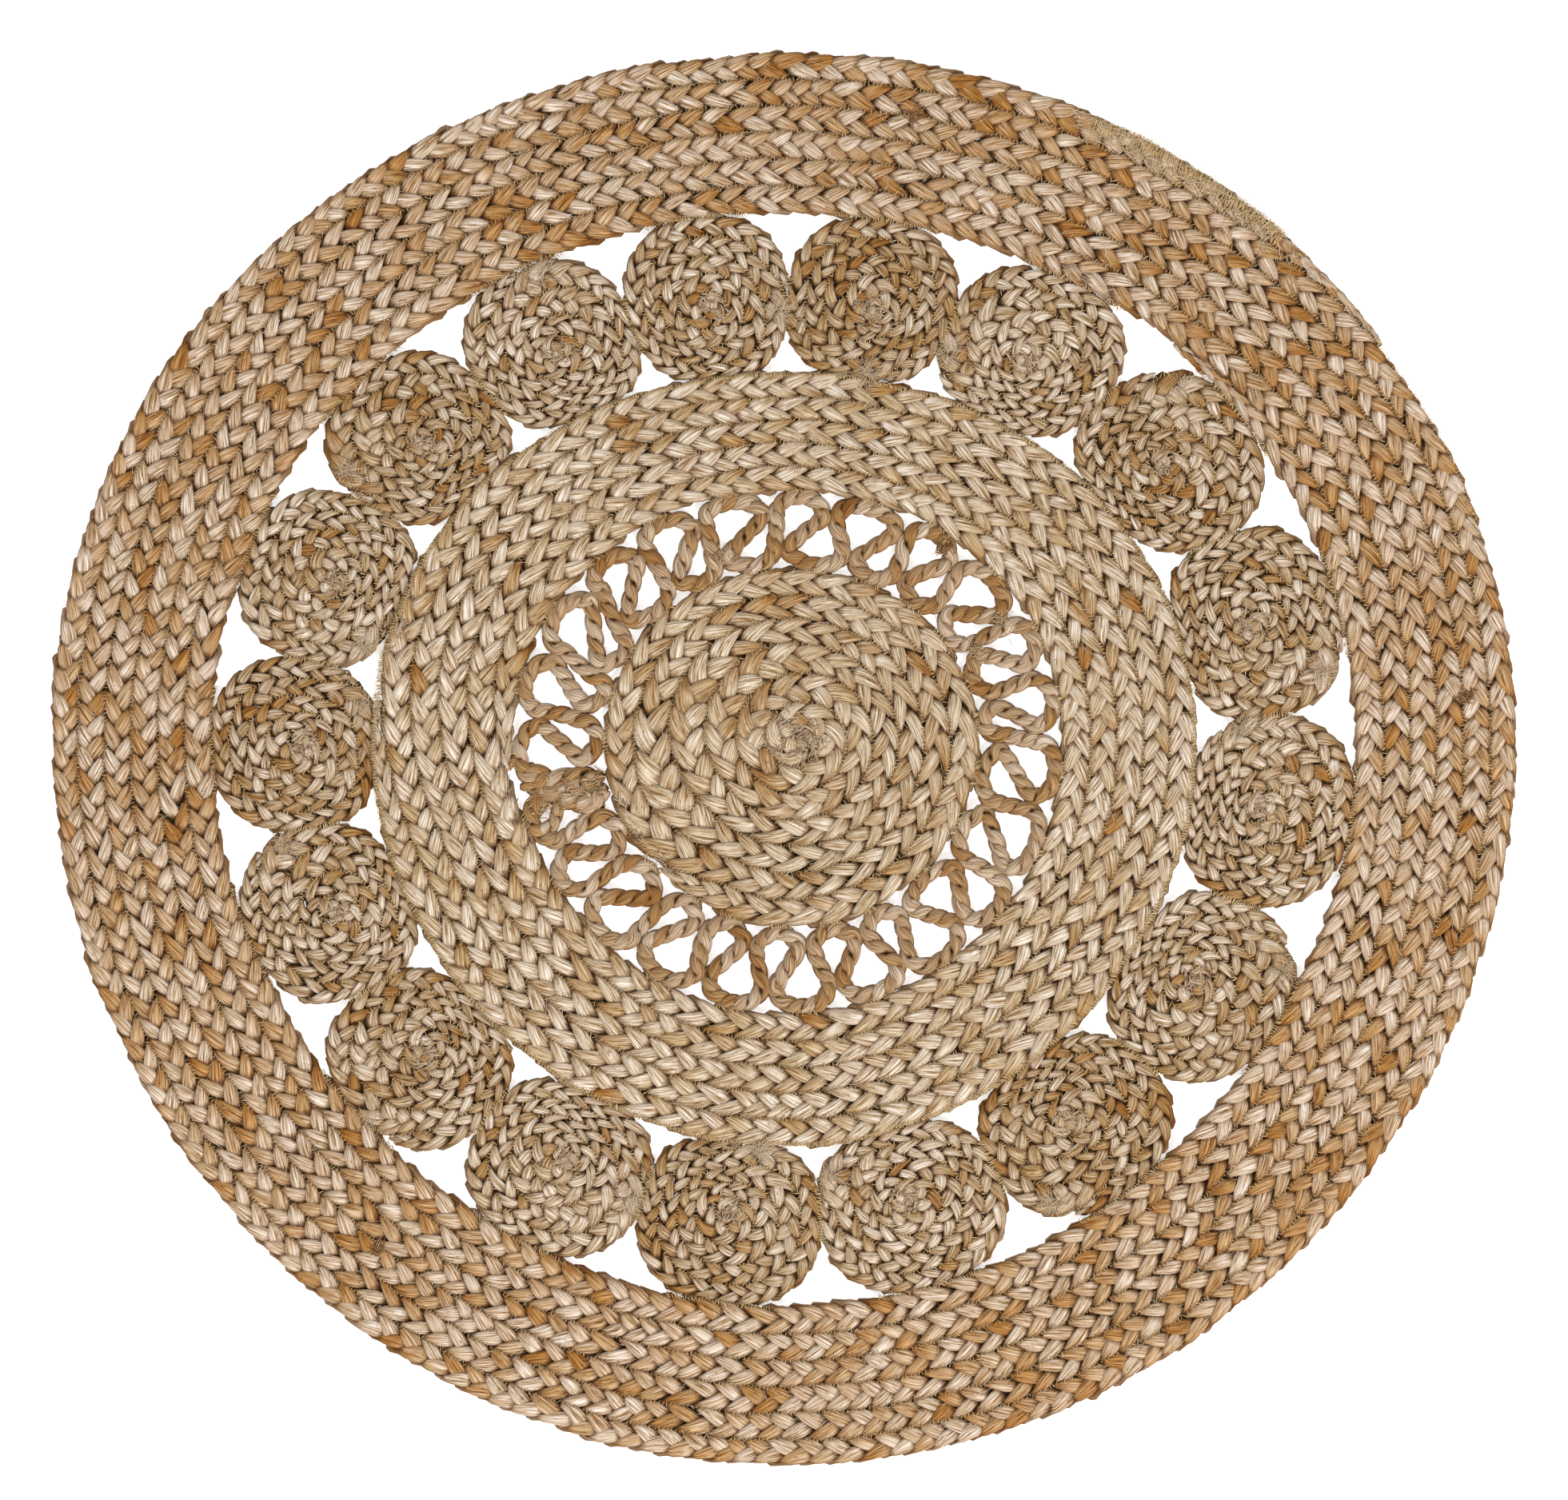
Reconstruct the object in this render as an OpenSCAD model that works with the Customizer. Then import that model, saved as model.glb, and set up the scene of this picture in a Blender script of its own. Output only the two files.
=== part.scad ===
// Round braided jute rug, lying flat. A coiled centre disc, an openwork lace of twisted cord,
// a coiled middle ring, a ring of small coiled rosettes and a coiled outer ring are sewn
// edge to edge. Each braid is one solid with a spiral groove where its turns meet, and the
// sewing thread is a separate solid that lies in that groove.

/* [Overall shape] */
// Mean radius of the outer edge
rug_r = 448; // [446:1:460]
// How much the rug is longer than round, from the mean radius to the long end
oval = 8; // [0:0.5:10]
// How far three shallow corners stand out from the oval
corner = 3; // [0:0.5:4]
// How far the centre disc sits to the right of the rug's middle
disc_right = 8; // [0:0.5:10]
// How far the centre disc sits beyond the rug's middle
disc_up = 9; // [0:0.5:10]

/* [Radii where the bands meet] */
// Outer edge of the centre disc
disc_r = 113; // [111:0.5:114]
// Inner edge of the middle ring
middle_in = 168; // [167:0.5:170]
// Outer edge of the middle ring
middle_out = 248; // [246:0.5:250]
// Inner edge of the outer ring
outer_in = 349; // [347:0.5:351]

/* [Braids] */
// Thickness of the braid in the disc and the rings
braid_h = 9; // [8:0.5:11]
// Thickness of the narrower braid in the rosettes
rosette_h = 7; // [6:0.5:9]
// Turns of braid in the centre disc
disc_turns = 7; // [6:1:8]
// Turns of braid in the middle ring
middle_turns = 5; // [4:1:6]
// Turns of braid in the outer ring
outer_turns = 6; // [5:1:7]
// Turns of braid in each rosette
rosette_turns = 5; // [4:1:6]

/* [Rosettes] */
// Number of rosettes
rosette_count = 17; // [17:1:17]
// Direction of the first rosette from the middle
rosette_start = 15.5; // [0:0.5:20]
// How much the widest rosettes are wider than the mean, as a share
rosette_vary = 0.07; // [0:0.01:0.08]
// Direction in which the rosettes are widest
rosette_widest = 320; // [300:5:340]
// How square each rosette is pressed towards the middle ring, where 2 is round
inner_square = 3; // [2.4:0.1:4]
// How square each rosette is pressed towards the outer ring, where 2 is round
outer_square = 2.4; // [2.2:0.1:3.2]

/* [Lace] */
// Width of the twisted cord
cord_w = 8.6; // [8:0.1:8.8]
// Height of the twisted cord
cord_h = 8.6; // [8:0.1:9]

/* [Sewing] */
// Width of the groove and of the thread between two turns
seam_w = 1.2; // [0.8:0.1:1.6]
// Depth of the groove between two turns
seam_d = 3; // [2:0.5:4]
// Height of the thread in its groove
thread_h = 2.4; // [1.5:0.1:2.8]
// Clear gap between the pieces that are sewn edge to edge
edge_gap = 0.5; // [0.4:0.1:0.6]

/* [Hidden] */
// The bands share one out-of-round shape beyond this radius and fade to round inside it
round_r = 250;
// Share of a turn in which a coil steps out to its next turn
step_share = 0.12;
// Where each coil steps out, as a direction from its own middle
outer_step = 62;
middle_step = 200;
disc_step = 250;
// A seam keeps this share of a turn's width away from a coil's own edge
seam_keep = 0.12;
// Points round a ring's edge, a rosette's edge, and in one turn of their seams
edge_points = 96;
rosette_points = 48;
seam_points = 56;
rosette_seam_points = 18;

// Directions of the points where neighbouring outer loops of the lace touch, and of the
// necks where the two legs of one outer loop touch. Loop i lies between touch i and i + 1.
loop_touch = [189, 173, 158, 142, 127.5, 112, 95, 80, 62.5, 48, 31, 18, 3.5,
    -12.5, -30, -45, -62, -78.5, -95, -111, -127.5, -143.5, -156.5, -171];
loop_neck = [185, 170.5, 158, 143.5, 125, 110, 92.5, 72.5, 57, 42, 28, 13, 1,
    -17, -34.5, -55, -69.5, -85.5, -101.5, -116.5, -131, -147.5, -162, -175];
loops = len(loop_neck) - 1;
// Radii of the lace's centreline: along the ring, at the touches, at the necks, along the disc
lace_gap = 1;
loop_top = middle_in - lace_gap - cord_w / 2;
loop_bottom = disc_r + lace_gap + cord_w / 2;
touch_r = loop_top - 9.5;
neck_r = loop_bottom + 10.5;
// Half the distance between two legs of the cord where they touch
leg_half = (cord_w + 1) / 2;
// A loop's corner lies at most this many degrees, and at most this share of the loop's width,
// from its touch or neck, and is pulled in this far
top_corner = 3.3;
bottom_corner = 4.3;
corner_share = 0.26;
corner_pull = 2;
// The cord's inner side stays within this share of the radius of each bend
bend_share = 0.6;
// Pieces that each stretch between two route points is divided into
route_steps = 2;

// The rosettes' middles lie a little nearer to the middle ring
rosette_r = middle_out + 0.43 * (outer_in - middle_out);
rosette_step = 360 / rosette_count;
// Half the angle, seen from a rosette's middle, of a stitched patch on its edge
patch_turn = 20;
patch_h = 3.5;
patch_points = 4;
// Clear gap between a stitched patch and the edges it joins
patch_clear = 0.1;

JUTE_OUTER = "#c29a68";
JUTE_MIDDLE = "#cdb084";
JUTE_ROSETTE = "#b89c72";
JUTE_LACE = "#bd9865";
THREAD = "#b59a63";

function two(i) = i < 10 ? str("0", i) : str(i);
ROSETTES = [for (i = [1:rosette_count]) str("rosette_", two(i))];
ROSETTE_THREADS = [for (i = [1:rosette_count]) str("rosette_thread_", two(i))];

// ---- The plane of the rug: a point from its radius and direction in the round layout ----

function bulge(a) = oval * cos(2 * a) + corner * sin(3 * a);
function share(r) = pow(min(1, r / round_r), 1.5);
function at(r, a) =
    let (rr = r + share(r) * bulge(a), f = 1 - min(1, r / round_r))
    [rr * cos(a) + disc_right * f, rr * sin(a) + disc_up * f + corner];

// ---- A coil: how many turns out its seam has come after u turns ----

function smooth(x) = x * x * (3 - 2 * x);
function stepped(u, f) = floor(u) + smooth(min(1, (u - floor(u)) / f));
// A ring steps out in a short stretch of every turn
function ring_seam(u) = stepped(u, step_share);
// A disc spirals evenly at its middle and steps out more and more sharply towards its edge
function disc_seam(u, turns) = stepped(u, max(step_share, 1 - floor(u) / (turns - 1)));
function keep_in(x, turns) = min(turns - seam_keep, max(seam_keep, x));

// ---- Outlines and seams as lists of points ----

function ring_edge(r) = [for (k = [0:edge_points - 1]) at(r, k * 360 / edge_points)];
function ring_seam_side(r0, r1, turns, start, side) =
    let (last = turns - 1 + step_share, n = ceil(last * seam_points))
    [for (k = [0:n])
        let (u = k * last / n, x = keep_in(ring_seam(u), turns))
        at(r0 + (r1 - r0) * x / turns + side * seam_w / 2, start - 360 * u)];
function disc_seam_side(turns, side) =
    let (first = 0.6, last = turns - 1 + step_share, n = ceil((last - first) * seam_points))
    [for (k = [0:n])
        let (u = first + k * (last - first) / n, x = keep_in(disc_seam(u, turns), turns))
        at(disc_r * x / turns + side * seam_w / 2, disc_step - 360 * u)];
function reversed(list) = [for (k = [len(list) - 1:-1:0]) list[k]];

// ---- Rosettes: each fills a squarish field between the rings and its neighbours ----

function rosette_half(i) =
    rosette_step / 2 * (1 + rosette_vary * cos(rosette_start + i * rosette_step - rosette_widest));
function rosette_dir(i) =
    i == 0 ? rosette_start : rosette_dir(i - 1) + rosette_half(i - 1) + rosette_half(i);
// Radius and direction of the point at share s from the middle and turn t, grown by g
function in_rosette(i, s, t, g) =
    let (c = cos(t), q = sin(t), n = 2 + ((c < 0 ? inner_square : outer_square) - 2) * s * s,
         f = s * pow(pow(abs(c), n) + pow(abs(q), n), -1 / n),
         deep = (c < 0 ? rosette_r - middle_out : outer_in - rosette_r) - edge_gap + g,
         wide = rosette_half(i) - (edge_gap / 2 - g) / rosette_r * 180 / PI)
    [rosette_r + f * c * deep, rosette_dir(i) + f * q * wide];
function on_rosette(i, s, t, g) = let (p = in_rosette(i, s, t, g)) at(p[0], p[1]);
function rosette_edge(i) =
    [for (k = [0:rosette_points - 1]) on_rosette(i, 1, k * 360 / rosette_points, 0)];
function rosette_seam_side(i, side) =
    let (first = 0.6, last = rosette_turns - 1 + step_share,
         n = ceil((last - first) * rosette_seam_points))
    [for (k = [0:n])
        let (u = first + k * (last - first) / n,
             x = keep_in(disc_seam(u, rosette_turns), rosette_turns) / rosette_turns)
        on_rosette(i, x + side * seam_w / (outer_in - middle_out), 77 * i - 360 * u, 0)];

// ---- The lace: route points loop by loop, then a smooth line through them ----

function leg(r) = asin(leg_half / r);
function outer_loop(i) =
    let (a = loop_touch[i], b = loop_touch[i + 1], w = a - b, q = min(top_corner, corner_share * w))
    [[touch_r, a - leg(touch_r)], [loop_top - corner_pull, a - q],
     [loop_top, a - 0.36 * w], [loop_top, a - 0.64 * w],
     [loop_top - corner_pull, b + q], [touch_r, b + leg(touch_r)]];
function inner_loop(i) =
    let (c = loop_neck[i], d = loop_neck[i + 1], w = c - d, q = min(bottom_corner, corner_share * w))
    [[neck_r, c - leg(neck_r)], [loop_bottom + corner_pull, c - q],
     [loop_bottom, c - 0.4 * w], [loop_bottom, c - 0.6 * w],
     [loop_bottom + corner_pull, d + q], [neck_r, d + leg(neck_r)]];
// The cord's two ends meet under the last neck
route = concat(
    [[loop_bottom + corner_pull, loop_neck[0] + bottom_corner], [neck_r, loop_neck[0] + leg(neck_r)]],
    [for (i = [0:loops - 1]) each concat(outer_loop(i),
        i < loops - 1 ? inner_loop(i) : [for (k = [0:2]) inner_loop(i)[k]])]);
// A cubic through four points, from the second to the third
function cubic(p, q, r, s, t) =
    0.5 * ((2 * q) + (r - p) * t + (2 * p - 5 * q + 4 * r - s) * t * t
        + (3 * q - p - 3 * r + s) * t * t * t);
function route_point(k) = at(route[k][0], route[k][1]);
function route_end(k) = min(len(route) - 1, max(0, k));
lace_line = concat(
    [for (k = [0:len(route) - 2], j = [0:route_steps - 1])
        cubic(route_point(route_end(k - 1)), route_point(k), route_point(k + 1),
              route_point(route_end(k + 2)), j / route_steps)],
    [route_point(len(route) - 1)]);
// Bend between two stretches, in degrees, positive to the left
function bend(p, q) = norm(p) * norm(q) == 0 ? 0 : asin((p[0] * q[1] - p[1] * q[0]) / norm(p) / norm(q));
function lace_side(side) =
    let (n = len(lace_line) - 1)
    [for (k = [0:n])
        let (p = lace_line[k] - lace_line[max(0, k - 1)], q = lace_line[min(n, k + 1)] - lace_line[k],
             d = p + q, u = d / norm(d), turn = side * bend(p, q) * PI / 180,
             room = turn > 0.001 ? bend_share * (norm(p) + norm(q)) / 2 / turn : cord_w)
        lace_line[k] + side * min(cord_w / 2, room) * [-u[1], u[0]]];

// ---- Shared shapes ----

module slab(h, points) {
    linear_extrude(h) polygon(points);
}

module ring_slab(h, r0, r1) {
    difference() {
        slab(h, ring_edge(r1));
        translate([0, 0, -1]) slab(h + 2, ring_edge(r0));
    }
}

// The groove where turns meet, cut from the top of a braid of height h
module groove(h, points) {
    translate([0, 0, h - seam_d]) slab(seam_d + 1, points);
}

// The thread that lies in that groove
module seam_thread(h, points) {
    translate([0, 0, h - seam_d]) slab(thread_h, points);
}

// A stitched patch between two lists of points that run the same way
module patch(edge_a, edge_b) {
    translate([0, 0, rosette_h - patch_h]) slab(patch_h - 0.5, concat(edge_a, reversed(edge_b)));
}

// ---- Sub-parts ----

disc_seam_points = concat(disc_seam_side(disc_turns, -1), reversed(disc_seam_side(disc_turns, 1)));
middle_seam_points = concat(
    ring_seam_side(middle_in, middle_out, middle_turns, middle_step, -1),
    reversed(ring_seam_side(middle_in, middle_out, middle_turns, middle_step, 1)));
outer_seam_points = concat(
    ring_seam_side(outer_in, rug_r, outer_turns, outer_step, -1),
    reversed(ring_seam_side(outer_in, rug_r, outer_turns, outer_step, 1)));
function rosette_seam_points(i) =
    concat(rosette_seam_side(i, -1), reversed(rosette_seam_side(i, 1)));

module centre_disc() {
    color(JUTE_MIDDLE)
    difference() {
        slab(braid_h, ring_edge(disc_r));
        groove(braid_h, disc_seam_points);
    }
}

module centre_disc_thread() {
    color(THREAD) seam_thread(braid_h, disc_seam_points);
}

module lace_cord() {
    color(JUTE_LACE) slab(cord_h, concat(lace_side(1), reversed(lace_side(-1))));
}

// Thin stitched strips along the middle stretch of each loop
module lace_stitches(r0, r1, directions) {
    half = 3;
    color(THREAD)
    for (a = directions)
        patch([for (k = [-2:2]) at(r0, a + k * half / 2)], [for (k = [-2:2]) at(r1, a + k * half / 2)]);
}

module lace_inner_stitches() {
    lace_stitches(disc_r + 0.1, disc_r + lace_gap - 0.15,
        [for (i = [0:loops - 2]) (loop_neck[i] + loop_neck[i + 1]) / 2]);
}

module lace_outer_stitches() {
    lace_stitches(middle_in - lace_gap + 0.15, middle_in - 0.15,
        [for (i = [0:loops - 1]) (loop_touch[i] + loop_touch[i + 1]) / 2]);
}

module middle_ring() {
    color(JUTE_MIDDLE)
    difference() {
        ring_slab(braid_h, middle_in, middle_out);
        groove(braid_h, middle_seam_points);
    }
}

module middle_ring_thread() {
    color(THREAD) seam_thread(braid_h, middle_seam_points);
}

module rosette(i) {
    color(JUTE_ROSETTE)
    difference() {
        slab(rosette_h, rosette_edge(i));
        groove(rosette_h, rosette_seam_points(i));
    }
}

module rosette_thread(i) {
    color(THREAD) seam_thread(rosette_h, rosette_seam_points(i));
}

// Turns of the points along a patch whose middle is at turn t
function patch_turns(t) =
    [for (k = [-patch_points:patch_points]) t + patch_turn * k / patch_points];

// Patches between a ring's edge at radius r and each rosette's side at turn t
module ring_patches(r, t) {
    for (i = [0:rosette_count - 1])
        patch([for (u = patch_turns(t)) at(r, in_rosette(i, 1, u, patch_clear)[1])],
              [for (u = patch_turns(t)) on_rosette(i, 1, u, patch_clear)]);
}

module rosette_inner_stitches() {
    color(THREAD) ring_patches(middle_out + patch_clear, 180);
}

module rosette_outer_stitches() {
    color(THREAD) ring_patches(outer_in - patch_clear, 0);
}

module rosette_side_stitches() {
    color(THREAD)
    for (i = [0:rosette_count - 1])
        patch([for (u = patch_turns(90)) on_rosette(i, 1, u, patch_clear)],
              [for (u = patch_turns(90)) on_rosette((i + 1) % rosette_count, 1, -u, patch_clear)]);
}

module outer_ring() {
    color(JUTE_OUTER)
    difference() {
        ring_slab(braid_h, outer_in, rug_r);
        groove(braid_h, outer_seam_points);
    }
}

module outer_ring_thread() {
    color(THREAD) seam_thread(braid_h, outer_seam_points);
}

centre_disc();
centre_disc_thread();
lace_cord();
lace_inner_stitches();
lace_outer_stitches();
middle_ring();
middle_ring_thread();
for (i = [0:rosette_count - 1]) {
    rosette(i);
    rosette_thread(i);
}
rosette_inner_stitches();
rosette_side_stitches();
rosette_outer_stitches();
outer_ring();
outer_ring_thread();
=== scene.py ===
"""Looks of the round braided jute rug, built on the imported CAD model.

Every coil of the CAD is laid again as its three plaited strands, the lace as two twisted plies,
and every seam as its zigzag stitches. Plan sizes are in millimetres, as in the CAD, until a mesh
is made, which is in metres.
"""

import math

import bpy
import numpy as np
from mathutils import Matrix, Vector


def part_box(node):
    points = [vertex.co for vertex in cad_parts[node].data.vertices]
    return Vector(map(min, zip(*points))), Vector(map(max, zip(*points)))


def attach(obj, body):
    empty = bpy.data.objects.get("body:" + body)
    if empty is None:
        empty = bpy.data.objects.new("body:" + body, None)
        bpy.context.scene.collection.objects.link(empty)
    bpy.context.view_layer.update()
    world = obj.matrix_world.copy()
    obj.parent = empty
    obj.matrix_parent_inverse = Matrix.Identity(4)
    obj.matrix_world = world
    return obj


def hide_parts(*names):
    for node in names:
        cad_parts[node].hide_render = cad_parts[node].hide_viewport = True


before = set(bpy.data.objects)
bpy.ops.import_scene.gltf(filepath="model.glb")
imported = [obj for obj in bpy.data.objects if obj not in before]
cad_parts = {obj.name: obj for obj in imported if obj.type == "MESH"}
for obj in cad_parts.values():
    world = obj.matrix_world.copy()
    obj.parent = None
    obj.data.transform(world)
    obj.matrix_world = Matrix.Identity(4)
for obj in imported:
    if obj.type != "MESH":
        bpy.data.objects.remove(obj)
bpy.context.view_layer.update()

MM = 0.001


def rise(node):
    """How tall a CAD node is, in millimetres."""
    low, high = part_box(node)
    return (high.z - low.z) / MM


# ---- Driving sizes of the layout, as in the CAD ----

# The rug's mean radius, and how far its outline is drawn out along X and at three corners
RUG_R, OVAL, CORNER = 448, 8, 3
# How far the disc lies off the rug's middle, and the radius outside which that has died out
DISC_RIGHT, DISC_UP = 8, 9
ROUND_R = 250
# Radii of the disc and of the rings' edges, and the turns of each coil
DISC_R, MIDDLE_IN, MIDDLE_OUT, OUTER_IN = 113, 168, 248, 349
DISC_TURNS, MIDDLE_TURNS, OUTER_TURNS, ROSETTE_TURNS = 7, 5, 6, 5
# The share of a turn in which a seam steps outwards, and the directions of the steps
STEP_SHARE = 0.12
OUTER_STEP, MIDDLE_STEP, DISC_STEP = 62, 200, 250
# The rosettes: how many, the first one's direction, how much their shares of the circle vary and
# where they are widest, the radius of their middles, and how square they are pressed
ROSETTE_COUNT, ROSETTE_START, ROSETTE_VARY, ROSETTE_WIDEST = 17, 15.5, 0.07, 320
ROSETTE_R = MIDDLE_OUT + 0.43 * (OUTER_IN - MIDDLE_OUT)
INNER_SQUARE, OUTER_SQUARE = 3, 2.4
# The gap round a rosette, the lace cord's width, and the heights of the CAD's braids and cord
EDGE_GAP = 0.5
CORD_W = 8.6
BRAID_H = rise("outer_ring")
ROSETTE_H = rise("rosette_01")
CORD_H = rise("lace_cord")

# ---- The plan of the rug ----


def at(r, a):
    """Plan position of radius r and direction a, in degrees, of the round layout."""
    r, a = np.broadcast_arrays(np.asarray(r, float), np.radians(np.asarray(a, float)))
    out = np.minimum(1, r / ROUND_R)
    rr = r + out**1.5 * (OVAL * np.cos(2 * a) + CORNER * np.sin(3 * a))
    x = rr * np.cos(a) + DISC_RIGHT * (1 - out)
    y = rr * np.sin(a) + DISC_UP * (1 - out) + CORNER
    return np.stack([x, y], -1)


def smooth(x):
    x = np.clip(x, 0, 1)
    return x * x * (3 - 2 * x)


def ring_seam(u):
    """How many turns out a ring's seam has come after u turns: it steps in a short stretch."""
    return np.floor(u) + smooth((u - np.floor(u)) / STEP_SHARE)


def disc_seam(turns):
    """The same for a disc, which spirals evenly at its middle and steps towards its edge."""

    def seam(u):
        stretch = np.maximum(STEP_SHARE, 1 - np.floor(u) / (turns - 1))
        return np.floor(u) + smooth((u - np.floor(u)) / stretch)

    return seam


def rosette_half(i):
    """Half of a rosette's share of the circle, in degrees."""
    step = 360 / ROSETTE_COUNT
    lean = math.radians(ROSETTE_START + i * step - ROSETTE_WIDEST)
    return step / 2 * (1 + ROSETTE_VARY * math.cos(lean))


def rosette_dir(i):
    """Direction of a rosette's middle."""
    return ROSETTE_START + sum(rosette_half(k) + rosette_half(k + 1) for k in range(i))


def ring_place(r0, r1, turns):
    """Plan position in a ring, from turns outwards and direction."""
    return lambda x, a: at(r0 + (r1 - r0) * x / turns, a)


def rosette_place(i):
    """Plan position in a rosette, from turns outwards and direction round its middle."""
    half, middle = rosette_half(i), rosette_dir(i)

    def place(x, a):
        s, t = np.asarray(x, float) / ROSETTE_TURNS, np.radians(np.asarray(a, float))
        c, q = np.cos(t), np.sin(t)
        n = 2 + (np.where(c < 0, INNER_SQUARE, OUTER_SQUARE) - 2) * s * s
        f = s * (np.abs(c) ** n + np.abs(q) ** n) ** (-1 / n)
        deep = np.where(c < 0, ROSETTE_R - MIDDLE_OUT, OUTER_IN - ROSETTE_R) - EDGE_GAP
        wide = half - math.degrees(EDGE_GAP / 2 / ROSETTE_R)
        return at(ROSETTE_R + f * c * deep, middle + f * q * wide)

    return place


# ---- Smooth random values along a length ----


def wander(rng, where, spacing):
    """A smooth random value from -1 to 1 at each place, which changes over the spacing."""
    knots = rng.uniform(-1, 1, int(np.max(where) / spacing) + 3)
    k = np.clip(where / spacing, 0, len(knots) - 2)
    i = k.astype(int)
    return knots[i] + (knots[i + 1] - knots[i]) * smooth(k - i)


# The waves that handwork leaves in the layout: their lengths and directions in degrees, how far
# each moves the jute, and how much its start and its heading differ from the one before it
WAVES = [(95, 20), (62, 75), (47, 130), (78, 165)]
WAVE_BY, WAVE_START, WAVE_HEADING = 0.4, 1.7, 2.4


def unevenness(plan):
    """How far handwork has moved each place of the plan from its even layout."""
    moved = np.zeros_like(plan)
    for k, (length, turn) in enumerate(WAVES):
        along = plan @ np.array([math.cos(math.radians(turn)), math.sin(math.radians(turn))])
        wave = WAVE_BY * np.sin(2 * np.pi * along / length + WAVE_START * k)
        moved += wave[:, None] * np.array([math.cos(WAVE_HEADING * k), math.sin(WAVE_HEADING * k)])
    return moved


# ---- Meshes ----


def new_mesh(name, points, quads, ends, uv, values):
    """A smooth mesh from points in millimetres, quads, and the triangles that close the ends."""
    mesh = bpy.data.meshes.new(name)
    mesh.vertices.add(len(points))
    mesh.vertices.foreach_set("co", (points * MM).astype(np.float32).ravel())
    corners = np.concatenate([quads.ravel(), ends.ravel()])
    mesh.loops.add(len(corners))
    mesh.loops.foreach_set("vertex_index", corners.astype(np.int32))
    starts = [np.arange(0, quads.size, 4), quads.size + np.arange(0, ends.size, 3)]
    mesh.polygons.add(len(quads) + len(ends))
    mesh.polygons.foreach_set("loop_start", np.concatenate(starts).astype(np.int32))
    mesh.polygons.foreach_set("use_smooth", np.ones(len(quads) + len(ends), bool))
    layer = mesh.uv_layers.new(name="fibre")
    layer.data.foreach_set("uv", uv.astype(np.float32).ravel())
    for key, value in values.items():
        layer = mesh.attributes.new(key, "FLOAT", "POINT")
        layer.data.foreach_set("value", value.astype(np.float32).ravel())
    mesh.update(calc_edges=True)
    return mesh


# A tube's ends are this share of its width, its fibre texture starts this much further on than the
# one before it, and nothing lies lower than this
TIP, APART, LOWEST = 0.25, 37.0, 0.05


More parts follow.
